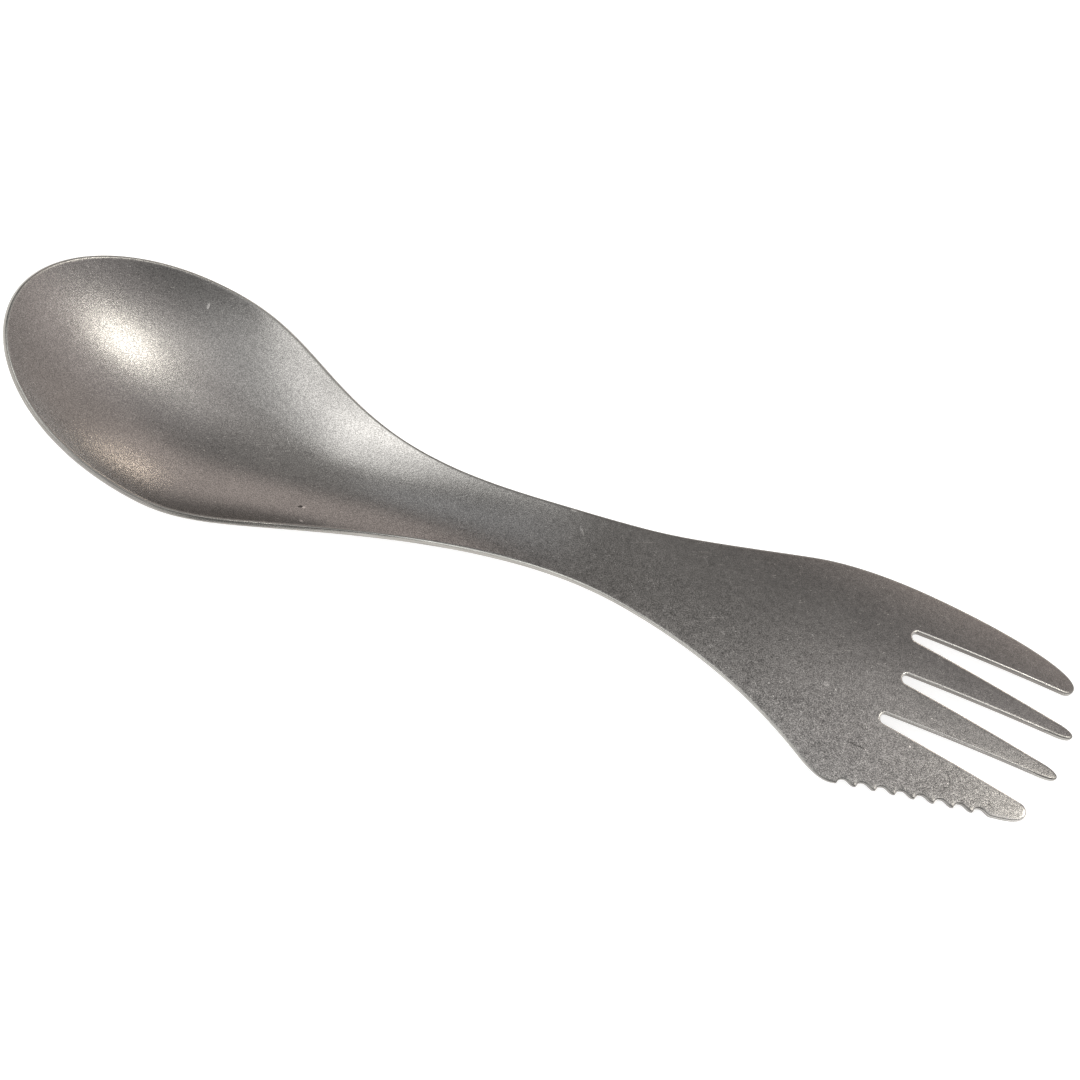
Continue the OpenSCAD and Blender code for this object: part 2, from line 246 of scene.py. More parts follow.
# One side of a slot: a quarter turn of the round root, a straight taper and the tine's tip, as
# long as the cap. The slot starts at startX on the line axisY, and the side is 1 or -1 from there.
def slotSide(axisY, startX, side, cap, tip, count):
    radius, angle, reach = spork["slotRadius"], spork["slotAngle"], spork["tipReach"]
    centre, taper = np.array([startX + radius, axisY]), heading(side * angle)
    leave = centre + side * radius * heading(90 + side * angle)
    end = leave + taper * (tip[0] - cap - leave[0]) / taper[0]
    turn = np.radians(180 - (90 - angle) * steps(rows["root"]))
    arc = centre + radius * np.stack([np.cos(turn), side * np.sin(turn)], 1)
    return np.concatenate([
        [[startX, axisY]], arc, straight(leave, end, count - rows["root"] - rows["cap"]),
        curve(end, end + taper * reach[0] * cap, tip + [0, reach[1] * (end[1] - tip[1])], tip, rows["cap"])])


# One tooth and scallop along its pitch: the worn corner is a small arc, the steep side a
# quarter of an ellipse, the flank half a cosine wave, the land flat. Returns the distance along
# the pitch, the depth of the cut and the distance at which the corner starts.
def toothProfile():
    s = spork
    wide, deep, pitch = s["steepShare"] * s["toothPitch"], s["toothDepth"], s["toothPitch"]
    join = np.radians(s["cornerAngle"])
    lean = np.arctan2(deep * np.cos(join), wide * np.sin(join))
    worn = deep * np.sin(join) / (1 - np.cos(lean))
    start = wide * (1 - np.cos(join)) - worn * np.sin(lean)
    foot = (1 - s["landShare"]) * pitch
    corner, steep = lean * steps(rows["corner"]), join + (np.pi / 2 - join) * steps(rows["steep"])
    flank, land = steps(rows["flank"]), steps(rows["land"])
    along = np.concatenate([start + worn * np.sin(corner), wide * (1 - np.cos(steep)),
                            wide + (foot - wide) * flank, foot + (pitch + start - foot) * land])
    depth = np.concatenate([worn * (1 - np.cos(corner)), deep * np.sin(steep),
                            deep * (1 + np.cos(np.pi * flank)) / 2, 0 * land])
    return along, depth, start


# The saw side from its corner: a short lead, the teeth and the smooth belly to the tip, with
# the depth of the cut at each place
def sawEdge():
    corner, tip = corners["saw"], corners["outerTip"]
    pitch, count, reach = spork["toothPitch"], spork["toothCount"], spork["bellyReach"]
    along, inward = heading(-spork["toothAngle"]), heading(-spork["toothAngle"] - 90)
    place, depth, start = toothProfile()
    place = (np.arange(count)[:, None] * pitch + place).ravel()
    depth = np.tile(depth, count)
    first = corner + spork["toothLead"] * along
    lead = straight(corner, first + start * along, rows["lead"])
    teeth = first + place[:, None] * along + depth[:, None] * inward
    last = teeth[-1]
    belly = curve(last, last + reach[0] * (tip[0] - last[0]) * along,
                  tip + [0, reach[1] * (last[1] - tip[1])], tip, rows["belly"])
    cuts = np.concatenate([np.zeros(1 + len(lead)), depth, np.zeros(len(belly))])
    return np.concatenate([[corner], lead, teeth, belly]), cuts


# The two sides of each tine from its root to its tip, the plain side's tine first, with the rows
# of each tine and the depth of the saw cuts
def tineSides():
    plain, outer, inner = (corners[n] for n in ("plain", "outerTip", "innerTip"))
    root, outerRoot = at["root"], at["root"] - spork["slotStep"]
    pitch, tip, corner = spork["slotPitch"], spork["tipLength"], spork["cornerLength"]
    toothed, cuts = sawEdge()
    tineRows = [rows["plain"]] * 3 + [len(toothed) - 1]
    span, reach = outer - plain, spork["plainTipReach"]
    edge = curve(plain, plain + [reach[0] * span[0], 0], outer - [0, reach[1] * span[1]], outer, tineRows[0])
    left = [np.concatenate([[plain], edge]),
            slotSide(pitch, outerRoot, -1, tip, inner, tineRows[1]),
            slotSide(0, root, -1, tip, inner * mirrored, tineRows[2]),
            slotSide(-pitch, outerRoot, -1, corner, outer * mirrored, tineRows[3])]
    right = [slotSide(pitch, outerRoot, 1, corner, outer, tineRows[0]),
             slotSide(0, root, 1, tip, inner, tineRows[1]),
             slotSide(-pitch, outerRoot, 1, tip, inner * mirrored, tineRows[2]),
             toothed * mirrored]
    return left, right, tineRows, cuts


# The whole outline of the blank in plan, clockwise from the nose as seen from above, with how
# far each point lies inside a slot and on the saw edge, the rows of each tine and the depth of
# the saw cuts
def blankOutline():
    left, right, tineRows, cuts = tineSides()
    tip, saw = at["outerTip"], at["corner"]
    parts = [corners["nose"][None], bowlSide(), plainSide()]
    inSlot = [np.zeros(len(part)) for part in parts]
    onSaw = [np.zeros(len(part)) for part in parts]
    for k in range(len(tineRows)):
        isToothed = k == len(tineRows) - 1
        for part, isSlotted, start, end in (
                (left[k][1:], k > 0, tip - spork["cornerLength"], tip),
                (right[k][::-1][1:], not isToothed, saw, saw + spork["toothPitch"])):
            parts.append(part)
            inSlot.append(isSlotted * (1 - ease(part[:, 0], tip - spork["tipLength"], tip)))
            onSaw.append(isToothed * ease(part[:, 0], start, end))
    parts.append(np.concatenate([bowlSide(), sawSide()])[::-1][1:] * mirrored)
    inSlot.append(np.zeros(len(parts[-1])))
    onSaw.append(np.zeros(len(parts[-1])))
    return np.concatenate(parts), np.concatenate(inSlot), np.concatenate(onSaw), tineRows, cuts


# Direction of the outline at each point, true also where its points lie unevenly
def outlineTangent(points):
    back, ahead = points - np.roll(points, 1, 0), np.roll(points, -1, 0) - points
    b, a = (np.linalg.norm(v, axis=1, keepdims=True) for v in (back, ahead))
    return unit(back * a / b + ahead * b / a)


# Distance from each point of a to its partner in b
def widthOf(a, b):
    return np.linalg.norm(b - a, axis=-1, keepdims=True)


# Places across rows of the given widths, as shares: close steps in the margins where the edge
# is drawn down, and even ones between them. Left and right are 0 where a row has no margin.
def spread(width, cols, left=1, right=1):
    margin = spork["sawRollWidth"] / np.maximum(width, spork["edgeRadius"])
    margin = np.minimum(margin, rows["widestMargin"])
    j, last = np.arange(cols + 1), len(rows["marginShares"]) - 1
    near, far = (np.interp(k, range(last + 1), rows["marginShares"]) for k in (j, cols - j))
    even = np.clip((j - left * last) / (cols - (left + right) * last), 0, 1)
    near, far, even = (v[None, :, None] for v in (near, far, even))
    return left * margin * near + (1 - (left + right) * margin) * even + right * margin * (1 - far)


# Rows across a tine from side a to side b: along it they take a smooth step that is the same
# function of the place across for all rows, so that no row runs over the next
def tineRow(a, b, cols, right=1):
    across = a[..., 1:] + (b - a)[..., 1:] * spread(widthOf(a, b), cols, 1, right)
    step = ease(across, a[0, 0, 1], b[0, 0, 1])
    span = np.maximum(step[:, -1:] - step[:, :1], rows["leastSpan"])
    along = a[..., :1] + (b - a)[..., :1] * (step - step[:, :1]) / span
    return np.concatenate([along, across], -1)


# Plan grid of each tine, from the root row to its tip. The toothed one has a strip along its edge
# that is crossed square to the line of crests.
def tineGrids(inset, tineRows, cuts):
    outOfTeeth = heading(spork["toothAngle"] - 90)
    grids, start = [], bodyRows
    for count, cols in zip(tineRows, rows["tineColumns"]):
        a = inset[start:start + count + 1][:, None]
        b = inset[start + count:start + 2 * count + 1][::-1][:, None]
        if len(grids) < len(tineRows) - 1:
            grids.append(tineRow(a, b, cols))
        else:
            crest = b + cuts[:, None, None] * outOfTeeth
            far = crest - rows["stripShare"] * widthOf(a, crest) * outOfTeeth
            strip = far + (b - far) * spread(widthOf(far, b), rows["stripColumns"], 0, 1)
            smooth = tineRow(a, far, cols - rows["stripColumns"], 0)
            grids.append(np.concatenate([smooth, strip[:, 1:]], 1))
        start += 2 * count
    return grids


# Plan grid of the body: straight rows that bend, before the tines, to meet the slots' roots
def bodyGrid(inset, tines):
    left = inset[:bodyRows + 1][:, None]
    right = inset[-np.arange(bodyRows + 1)][:, None]
    body = left + (right - left) * spread(widthOf(left, right), sum(rows["tineColumns"]))
    lastRow = np.concatenate([tine[0, :-1] for tine in tines] + [tines[-1][0, -1:]])
    bend = ease(np.arange(bodyRows + 1.0), bodyRows - rows["bend"], bodyRows)[:, None, None]
    return body + bend * (lastRow - body[-1])


# The plan points of all grids in one list, and a grid of their numbers for each. The nose and
# each tip are one pole, and a tine's first row is a stretch of the body's last.
def numberPoints(body, tines):
    bodyIndex = np.zeros(body.shape[:2], int)
    bodyIndex[1:] = 1 + np.arange(bodyIndex[1:].size).reshape(bodyIndex[1:].shape)
    plan, grids = [body[:1, 0], body[1:].reshape(-1, 2)], [bodyIndex]
    total, column = bodyIndex.max() + 1, 0
    for tine in tines:
        index = np.empty(tine.shape[:2], int)
        inner = index[1:-1]
        index[0] = bodyIndex[-1, column:column + tine.shape[1]]
        inner[:] = total + np.arange(inner.size).reshape(inner.shape)
        index[-1] = total + inner.size
        plan += [tine[1:-1].reshape(-1, 2), tine[-1, :1]]
        grids.append(index)
        total += inner.size + 1
        column += tine.shape[1] - 1
    return np.concatenate(plan), grids


# Faces of an index grid, anticlockwise from above; where a row is one pole they are triangles
def gridFaces(index):
    a, b, c, d = (v.ravel() for v in (index[:-1, :-1], index[1:, :-1], index[1:, 1:], index[:-1, 1:]))
    startPole, endPole = a == d, b == c
    quads = np.stack([a, d, c, b], 1)[~(startPole | endPole)]
    return quads, np.concatenate([np.stack([a, c, b], 1)[startPole], np.stack([a, d, b], 1)[endPole]])


# Numbers of the rim's points, once round in the order of the outline
def rimOf(body, tines):
    return np.concatenate([body[:, 0]] + [np.concatenate([t[1:, 0], t[-2::-1, -1]]) for t in tines]
                          + [body[-2:0:-1, -1]])


# Distance of each plan point from a closed line, and the number of the stretch that is nearest
def distanceTo(line, points):
    ahead = np.roll(line, -1, 0) - line
    square = np.sum(ahead * ahead, 1)
    distance, nearest = [], []
    for block in np.array_split(points, len(points) // rows["blockSize"] + 1):
        off = block[:, None] - line
        share = np.clip(np.sum(off * ahead, -1) / square, 0, 1)
        gap = np.sum((off - share[..., None] * ahead) ** 2, -1)
        distance.append(np.sqrt(gap.min(1)))
        nearest.append(gap.argmin(1))
    return np.concatenate(distance), np.concatenate(nearest)


# What the finish reads at each point: how far round the edge it lies, 0 on the flats and 1 on
# the wall; how much painted highlight its rim has; and its place along the outline and across the
# edge in millimetres, with how much painted shade its wall has
def edgeFinish(outline, rim, angles, nearness, nearest, bright, wallShade):
    plan, radius, rimWear = len(nearness), spork["edgeRadius"], np.sin(np.radians(spork["rollAngle"]))
    rings = np.concatenate([angles, angles[::-1]])
    wear = np.concatenate([rimWear * nearness, 0 * nearness, np.maximum(np.sin(rings).ravel(), rimWear)])
    wear[plan + rim] = rimWear
    paintedHighlight = np.concatenate([bright[nearest], bright[nearest], np.tile(bright, len(rings))])
    run = np.cumsum(np.linalg.norm(outline - np.roll(outline, 1, 0), axis=1))
    lowerGirth = radius * (np.pi - angles[::-1]) + spork["sheet"] - 2 * radius
    girth = np.concatenate([radius * angles, lowerGirth])
    strip = np.zeros((len(wear), 3))
    strip[rim] = np.stack([run, 0 * run, wallShade], 1)
    strip[plan + rim] = np.stack([run, girth[-1], wallShade], 1)
    strip[2 * plan:] = np.stack([np.tile(run, len(rings)), girth.ravel(), np.tile(wallShade, len(rings))], 1)
    return {"wear": wear, "paintedHighlight": paintedHighlight, "strip": strip}


# The pressed sheet: a plan grid laid on the height function, a second one a sheet's thickness
# below it along the normal, and rings of points round the worn edge that joins them
def pressedSheet():
    s, radius = spork, spork["edgeRadius"]
    outline, inSlot, onSaw, tineRows, cuts = blankOutline()
    tangent = outlineTangent(outline)
    outward = np.stack([-tangent[:, 1], tangent[:, 0]], 1)

    # The edge turns on a line that lies its radius inside the outline, and the faces end where
    # it has turned by the roll angle
    turnLine = outline - radius * outward
    normal, rise = faceNormal(turnLine), np.sum(slope(turnLine) * tangent, 1, keepdims=True)
    out = unit(np.cross(normal, np.concatenate([tangent, rise], 1)))
    onBelly = onSaw * ease(outline[:, 0], at["belly"] - s["toothPitch"], at["belly"])
    first = np.radians(s["rollAngle"] + (s["bellyRollAngle"] - s["rollAngle"]) * onBelly)
    inset = turnLine + (radius * np.sin(first))[:, None] * out[:, :2]

    tines = tineGrids(inset, tineRows, cuts)
    plan, grids = numberPoints(bodyGrid(inset, tines), tines)
    quads, triangles = (np.concatenate(part) for part in zip(*(gridFaces(index) for index in grids)))

    # The rim's painted highlight: full in the slots, on the teeth's steep sides and along the belly
    steep = ease(outward @ heading(s["toothAngle"]), *s["highlightFacing"])
    sawHighlight = np.maximum(onSaw * steep, onBelly)

    # The faces: the upper one is drawn down towards its rim by the square of the nearness, and
    # the lower one starts to turn there
    margin = s["rollWidth"] + (s["sawRollWidth"] - s["rollWidth"]) * sawHighlight
    rolled = margin * np.tan(first) / 2
    nearRim, nearest = distanceTo(inset, plan)
    nearness = np.clip(1 - nearRim / margin[nearest], 0, 1)
    turned = np.clip(radius * np.sin(first)[nearest] - nearRim, 0, None)
    top, normals = onFace(plan), faceNormal(plan)
    upperFace = top - (rolled[nearest] * nearness ** 2)[:, None] * normals
    lowerFace = top - (s["sheet"] - radius + np.sqrt(radius ** 2 - turned ** 2))[:, None] * normals

    # The edge: the rest of half a turn round the line inside the outline, split by the wall
    angles = first + (np.pi / 2 - first) * steps(rows["edgeSteps"])[:, None]
    base, sunk = onFace(turnLine), (rolled + radius * np.cos(first))[:, None]
    sine, cosine = np.sin(angles)[..., None], np.cos(angles)[..., None]
    upper = base - sunk * normal + radius * (sine * out + cosine * normal)
    lower = (base - (s["sheet"] - radius) * normal + radius * (sine * out - cosine * normal))[::-1]
    points = np.concatenate([upperFace, lowerFace, *upper, *lower])
    rim = rimOf(grids[0], grids[1:])
    rings = 2 * len(plan) + np.arange(2 * angles.size).reshape(-1, len(outline))
    a = np.concatenate([[rim], rings, [rim + len(plan)]])
    b = np.roll(a, -1, 1)
    edge = np.stack([a[:-1], b[:-1], b[1:], a[1:]], -1).reshape(-1, 4)
    faces = [np.concatenate([quads, quads[:, ::-1] + len(plan), edge]),
             np.concatenate([triangles, triangles[:, ::-1] + len(plan)])]

    # The rims in the slots and on the saw side get a painted highlight, and the walls in the slots and
    # between the teeth a painted shade
    finish = edgeFinish(outline, rim, angles, nearness, nearest, np.maximum(inSlot, sawHighlight),
                        np.maximum(inSlot, onSaw))
    return points, faces, finish


# Moves the points from the nose's station to the shared frame: the middle of the box goes to
# the middle of the CAD node's box, and the lowest place to the table
def intoFrame(points):
    low, high = (np.array(c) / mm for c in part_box("spork"))
    lowest, highest = points.min(0), points.max(0)
    shift = (low + high) / 2 - (lowest + highest) / 2
    shift[2] = low[2] - lowest[2]
    return points + shift


# The spork as one mesh, with what its finish reads as attributes of the points
def makeSpork():
    points, faces, finish = pressedSheet()
    points = intoFrame(points) * mm
    mesh = bpy.data.meshes.new("sporkSheet")
    mesh.from_pydata(points.tolist(), [], [f for part in faces for f in part.tolist()])
    mesh.polygons.foreach_set("use_smooth", np.ones(len(mesh.polygons), bool))
    for name, values in finish.items():
        kind, field = ("FLOAT", "value") if values.ndim == 1 else ("FLOAT_VECTOR", "vector")
        mesh.attributes.new(name, kind, "POINT").data.foreach_set(field, values.ravel())
    mesh.update()
    piece = bpy.data.objects.new("sporkPressed", mesh)
    bpy.context.scene.collection.objects.link(piece)
    print("stage: the pressed sheet has", len(mesh.polygons), "faces")
    return piece


# sRGB hex to linear colour
def linear(hexColour, alpha=1.0):
    c = np.array([int(hexColour[i:i + 2], 16) / 255 for i in (1, 3, 5)])
    c = np.where(c <= 0.04045, c / 12.92, ((c + 0.055) / 1.055) ** 2.4)
    return (*c.tolist(), alpha)


# Sets an input to a value, or links it to a socket or to a node's first output in use
def feed(tree, socket, value):
    if isinstance(value, bpy.types.Node):
        value = next(output for output in value.outputs if output.enabled)
    if isinstance(value, bpy.types.NodeSocket):
        tree.links.new(value, socket)
    else:
        socket.default_value = value


# Adds a node with its settings and its inputs, which are given in order or by name
def addNode(tree, kind, settings=None, *ordered, **named):
    node = tree.nodes.new("ShaderNode" + kind)
    for name, value in (settings or {}).items():
        setattr(node, name, value)
    for socket, value in zip([i for i in node.inputs if i.enabled], ordered):
        feed(tree, socket, value)
    for name, value in named.items():
        feed(tree, node.inputs[name.replace("_", " ")], value)
    return node


# Settings that many nodes share
add, multiply, multiplyAdd = ({"operation": name} for name in ("ADD", "MULTIPLY", "MULTIPLY_ADD"))
scaled = {"operation": "SCALE"}
smoothly = {"interpolation_type": "SMOOTHSTEP"}
colours = {"data_type": "RGBA"}


# Tumbled titanium: commercially pure sheet, pressed and then rolled in a drum with stones. The
# eye sees a warm grey satin with a fine even grain, sparse bright knocks and small dark pits,
# and an edge worn smooth and bright. The grit's own marks, some 0.05 mm, and the hairlines, some
# 0.04 mm wide, are drawn about three times as coarse so that they show. Sizes and heights are in
# mm, and a tone is the share by which a pattern changes the colour.
titaniumLook = {
    # The rims' second colour is a painted highlight, for the slots, the teeth's steep sides and the belly,
    # and the walls' second colour a painted shade, for the slots and between the teeth
    "face": "#9c9996", "rim": "#94928e", "paintedHighlightRim": "#dbd8d3", "wall": "#989590",
    "paintedShadeWall": "#77736f", "pit": "#484442",
    "faceRoughness": 0.26, "edgeRoughness": 0.24, "roughnessSwing": 0.03,
    "edgeWear": (0.05, 0.36), "wallWear": (0.75, 0.98),    # where the rim and the wall take over
    "grain": {"size": 0.17, "detail": 2.0, "roughness": 0.6, "height": 0.015, "tone": 0.34},
    "mottle": {"size": 0.8, "detail": 2.0, "roughness": 0.5, "height": 0.006, "tone": 0.16},
    "cloud": {"size": 9.0, "detail": 1.0, "roughness": 0.5, "tone": 0.10},
    "streak": {"size": 0.13, "length": 5.0, "detail": 2.0, "roughness": 0.5, "height": 0.008, "tone": 0.22},
    "noiseSpan": (0.35, 0.65),     # the stretch of a noise that is drawn out to its full tone
    # Round marks: the spacing of their cells, the radius, and the share of the cells that has one
    "knocks": {"spacing": 1.9, "radius": 0.16, "share": 0.35, "height": -0.012, "tone": 0.35},
    # The glints are painted: bright specks in the colour for the lamps' sparkle in the grit
    "glints": {"spacing": 0.6, "radius": 0.08, "share": 0.4, "tone": 0.5},
    "pits": {"spacing": 0.8, "radius": 0.10, "share": 0.45, "tone": 0.5},
    "spotCore": 0.35,              # a round mark is full within this share of its radius
    "scratches": ({"turn": 24, "width": 0.11, "length": 7.0, "least": 0.79},
                  {"turn": -52, "width": 0.10, "length": 5.0, "least": 0.80}),
    "lineFade": 0.05, "lineHeight": -0.006, "lineTone": 0.15,
    # From the neck to the handle, in mm along X, the colour falls to the handle's tone and the marks
    # grow, and over the fork head it rises again. Marks and grain have one contrast in the bowl, and
    # beyond it a place in Y and a contrast for each side. The much stronger contrast on the saw side
    # is partly painted sparkle: the lamps' glints over the real grain.
    "usedFrom": -40.0, "usedTo": 8.0, "handleTone": 0.79, "usedMarks": (0.8, 1.7),
    "headFrom": 36.0, "headTo": 47.0, "headTone": 1.12,
    "bowlContrast": 1.0, "plainContrast": (6.0, 0.75), "sawContrast": (-13.0, 1.9),
    # Single marks: the middle, half the length and half the width, the turn in degrees and the
    # change of the tone, in full within the core's share of their half sizes
    "strokeCore": 0.66, "strokeDepth": 0.9,
    "strokes": (
        {"at": (55.4, -12.95, 5.96), "half": (2.0, 0.16), "turn": 0, "tone": -0.5},
        {"at": (-34.4, -7.25, 2.4), "half": (0.50, 0.24), "turn": 30, "tone": -0.8},
        {"at": (-33.9, -7.2, 2.4), "half": (0.30, 0.20), "turn": 30, "tone": 1.0},
        {"at": (-33.3, -10.2, 3.85), "half": (0.40, 0.26), "turn": -20, "tone": 1.2},
        {"at": (-58.5, 15.8, 7.75), "half": (0.50, 0.24), "turn": 90, "tone": 1.2},
        {"at": (48.2, -6.2, 7.8), "half": (0.60, 0.50), "turn": 0, "tone": 0.5},
        {"at": (6.1, 2.55, 8.78), "half": (1.0, 0.22), "turn": -51, "tone": 0.6},
        {"at": (3.9, 5.30, 8.6), "half": (0.60, 0.25), "turn": 0, "tone": 0.9},
    ),
}


# Round spots: a share of the cells of a Voronoi pattern, each with one soft-edged ball
def spots(tree, place, spot):
    cells = addNode(tree, "TexVoronoi", {}, Vector=place, Scale=1 / (spot["spacing"] * mm))
    size = spot["radius"] / spot["spacing"]
    ball = addNode(tree, "MapRange", smoothly, cells, size, size * titaniumLook["spotCore"])
    chance = addNode(tree, "SeparateColor", {}, cells.outputs["Color"])
    picked = addNode(tree, "Math", {"operation": "LESS_THAN"}, chance, spot["share"])
    return addNode(tree, "Math", multiply, ball, picked)


# Hairlines: the highest crests of a noise drawn out along one direction, in patches
def hairline(tree, place, scratch):
    turned = addNode(tree, "Mapping", {"vector_type": "TEXTURE"}, Vector=place,
                     Rotation=(0, 0, np.radians(scratch["turn"])),
                     Scale=(scratch["length"] / scratch["width"], 1, 1))
    crest = addNode(tree, "TexNoise", {}, Vector=turned, Scale=1 / (scratch["width"] * mm), Detail=0.0)
    return addNode(tree, "MapRange", {}, crest, scratch["least"], scratch["least"] + titaniumLook["lineFade"])


# One mark: full within its core, gone at the whole of its half sizes
def stroke(tree, place, mark):
    half = (*mark["half"], titaniumLook["strokeDepth"])
    turned = addNode(tree, "Mapping", {"vector_type": "TEXTURE"}, Vector=place,
                     Location=[c * mm for c in mark["at"]], Rotation=(0, 0, np.radians(mark["turn"])),
                     Scale=[c * mm for c in half])
    reach = addNode(tree, "VectorMath", {"operation": "LENGTH"}, turned)
    return addNode(tree, "MapRange", smoothly, reach, 1.0, titaniumLook["strokeCore"], 0.0, mark["tone"])


# Tone of the faces: 1 and each pattern's swing about its middle, stronger where the sheet is
# used, times the contrast of the place, plus the clouds and the single marks, times the tones of
# the handle and the head
def faceTone(tree, place, pattern):
    look = titaniumLook
    grain, mottle, cloud = (look[n]["tone"] for n in ("grain", "mottle", "cloud"))
    x, y = addNode(tree, "SeparateXYZ", {}, place).outputs[:2]
    used = addNode(tree, "MapRange", {}, x, look["usedFrom"] * mm, look["usedTo"] * mm)
    tone = addNode(tree, "MapRange", {}, pattern["grain"], *look["noiseSpan"], -grain, grain)
    # Painted glints: bright specks added to the tone
    tone = addNode(tree, "Math", multiplyAdd, pattern["glints"], look["glints"]["tone"], tone)
    marks = addNode(tree, "Math", multiplyAdd, pattern["mottle"], mottle * 2, -mottle)
    marks = addNode(tree, "Math", multiplyAdd, pattern["knocks"], look["knocks"]["tone"], marks)
    marks = addNode(tree, "Math", multiplyAdd, pattern["lines"], look["lineTone"], marks)
    least, most = look["usedMarks"]
    strength = addNode(tree, "Math", multiplyAdd, used, most - least, least)
    tone = addNode(tree, "Math", multiplyAdd, marks, strength, tone)

    # The contrast on the saw side is partly painted sparkle, the lamps' glints over the grain
    (plainY, plain), (sawY, saw), bowl = look["plainContrast"], look["sawContrast"], look["bowlContrast"]
    contrast = addNode(tree, "MapRange", {}, y, plainY * mm, sawY * mm, plain, saw)
    contrast = addNode(tree, "Math", {"operation": "SUBTRACT"}, contrast, bowl)
    contrast = addNode(tree, "Math", multiplyAdd, used, contrast, bowl)
    tone = addNode(tree, "Math", multiplyAdd, tone, contrast, 1.0)
    drift = addNode(tree, "Math", multiplyAdd, pattern["cloud"], cloud * 2, -cloud)
    tone = addNode(tree, "Math", add, tone, drift)
    for mark in look["strokes"]:
        tone = addNode(tree, "Math", add, tone, stroke(tree, place, mark))

    handle = addNode(tree, "Math", multiplyAdd, used, look["handleTone"] - 1, 1.0)
    head = addNode(tree, "MapRange", {}, x, look["headFrom"] * mm, look["headTo"] * mm, 1.0, look["headTone"])
    return addNode(tree, "Math", multiply, addNode(tree, "Math", multiply, tone, handle), head)


# Colour of the edge. The stones dull the open rims and clean the open walls. The rims in the
# slots, on the teeth's steep sides and along the belly take a painted highlight, and the walls in
# the slots and between the teeth a painted shade.
def edgeColour(tree, strip, worn, streak):
    look, swing = titaniumLook, titaniumLook["streak"]["tone"]
    wallShade = addNode(tree, "SeparateXYZ", {}, strip).outputs["Z"]
    paintedHighlight = addNode(tree, "Attribute", {"attribute_name": "paintedHighlight"}).outputs["Fac"]
    # The walls in the slots and between the teeth take a painted shade
    wall = addNode(tree, "Mix", colours, wallShade, linear(look["wall"]), linear(look["paintedShadeWall"]))
    # The rims in the slots, on the teeth's steep sides and along the belly take a painted highlight
    rim = addNode(tree, "Mix", colours, paintedHighlight, linear(look["rim"]), linear(look["paintedHighlightRim"]))
    onWall = addNode(tree, "MapRange", smoothly, worn, *look["wallWear"])
    colour = addNode(tree, "Mix", colours, onWall, rim, wall)
    tone = addNode(tree, "MapRange", {}, streak, *look["noiseSpan"], 1 - swing, 1 + swing)
    return addNode(tree, "VectorMath", scaled, colour, tone)


# The finish: its colour, how satin it is and its relief come from the same patterns
def tumbledTitanium():
    look = titaniumLook
    material = bpy.data.materials.new("tumbledTitanium")
    material.use_nodes = True
    tree = material.node_tree
    place = addNode(tree, "TexCoord").outputs["Object"]
    worn = addNode(tree, "Attribute", {"attribute_name": "wear"}).outputs["Fac"]
    strip = addNode(tree, "Attribute", {"attribute_name": "strip"}).outputs["Vector"]
    drawnOut = look["streak"]["size"] / look["streak"]["length"]
    along = addNode(tree, "Mapping", {}, Vector=strip, Scale=(drawnOut * mm, mm, mm))
    pattern = {}
    for name, where in (("grain", place), ("mottle", place), ("cloud", place), ("streak", along)):
        pattern[name] = addNode(tree, "TexNoise", {}, Vector=where, Scale=1 / (look[name]["size"] * mm),
                                Detail=look[name]["detail"], Roughness=look[name]["roughness"])
    for name in ("knocks", "glints", "pits"):
        pattern[name] = spots(tree, place, look[name])
    lines = [hairline(tree, place, scratch) for scratch in look["scratches"]]
    pattern["lines"] = addNode(tree, "Math", {"operation": "MAXIMUM"}, *lines)

    onEdge = addNode(tree, "MapRange", smoothly, worn, *look["edgeWear"])
    face = addNode(tree, "VectorMath", scaled, linear(look["face"])[:3], faceTone(tree, place, pattern))
    pitted = addNode(tree, "Math", multiply, pattern["pits"], look["pits"]["tone"])
    face = addNode(tree, "Mix", colours, pitted, face, linear(look["pit"]))
    edge = edgeColour(tree, strip, worn, pattern["streak"])
    colour = addNode(tree, "Mix", colours, onEdge, face, edge)

    rough, swing = look["faceRoughness"], look["roughnessSwing"]
    satin = addNode(tree, "Math", multiplyAdd, pattern["mottle"], swing * 2, rough - swing)
    satin = addNode(tree, "Math", multiplyAdd, onEdge, look["edgeRoughness"] - rough, satin)

    high = addNode(tree, "Math", multiply, pattern["grain"], look["grain"]["height"])
    high = addNode(tree, "Math", multiplyAdd, pattern["mottle"], look["mottle"]["height"], high)
    high = addNode(tree, "Math", multiplyAdd, pattern["knocks"], look["knocks"]["height"], high)
    high = addNode(tree, "Math", multiplyAdd, pattern["lines"], look["lineHeight"], high)
    streaks = addNode(tree, "Math", multiply, pattern["streak"], onEdge)
    high = addNode(tree, "Math", multiplyAdd, streaks, look["streak"]["height"], high)
    bump = addNode(tree, "Bump", {}, Height=high, Distance=mm, Strength=1.0)

    shader = tree.nodes["Principled BSDF"]
    for name, value in (("Metallic", 1.0), ("Base Color", colour), ("Roughness", satin), ("Normal", bump)):
        feed(tree, shader.inputs[name], value)
    print("stage: the tumbled finish has", len(tree.nodes), "nodes")
    return material


# The matrix of a camera or lamp from its three axes and its place
def placed(x, y, z, place):
    return Matrix([*np.stack([x, y, z, place], 1).tolist(), (0, 0, 0, 1)])


# The camera stands off far enough to flatten the view, turned and rolled as the photograph is.
# Angles are in degrees and lengths in mm.
cameraView = {
    "azimuth": 6.824, "elevation": 62.67, "roll": 14.948,
    "distance": 1500.0, "lens": 336.35, "sensor": 36.0, "near": 10.0, "far": 100000.0,
    "aim": (0.0, 0.0, 6.0), "right": 0.664, "up": -0.251,
}


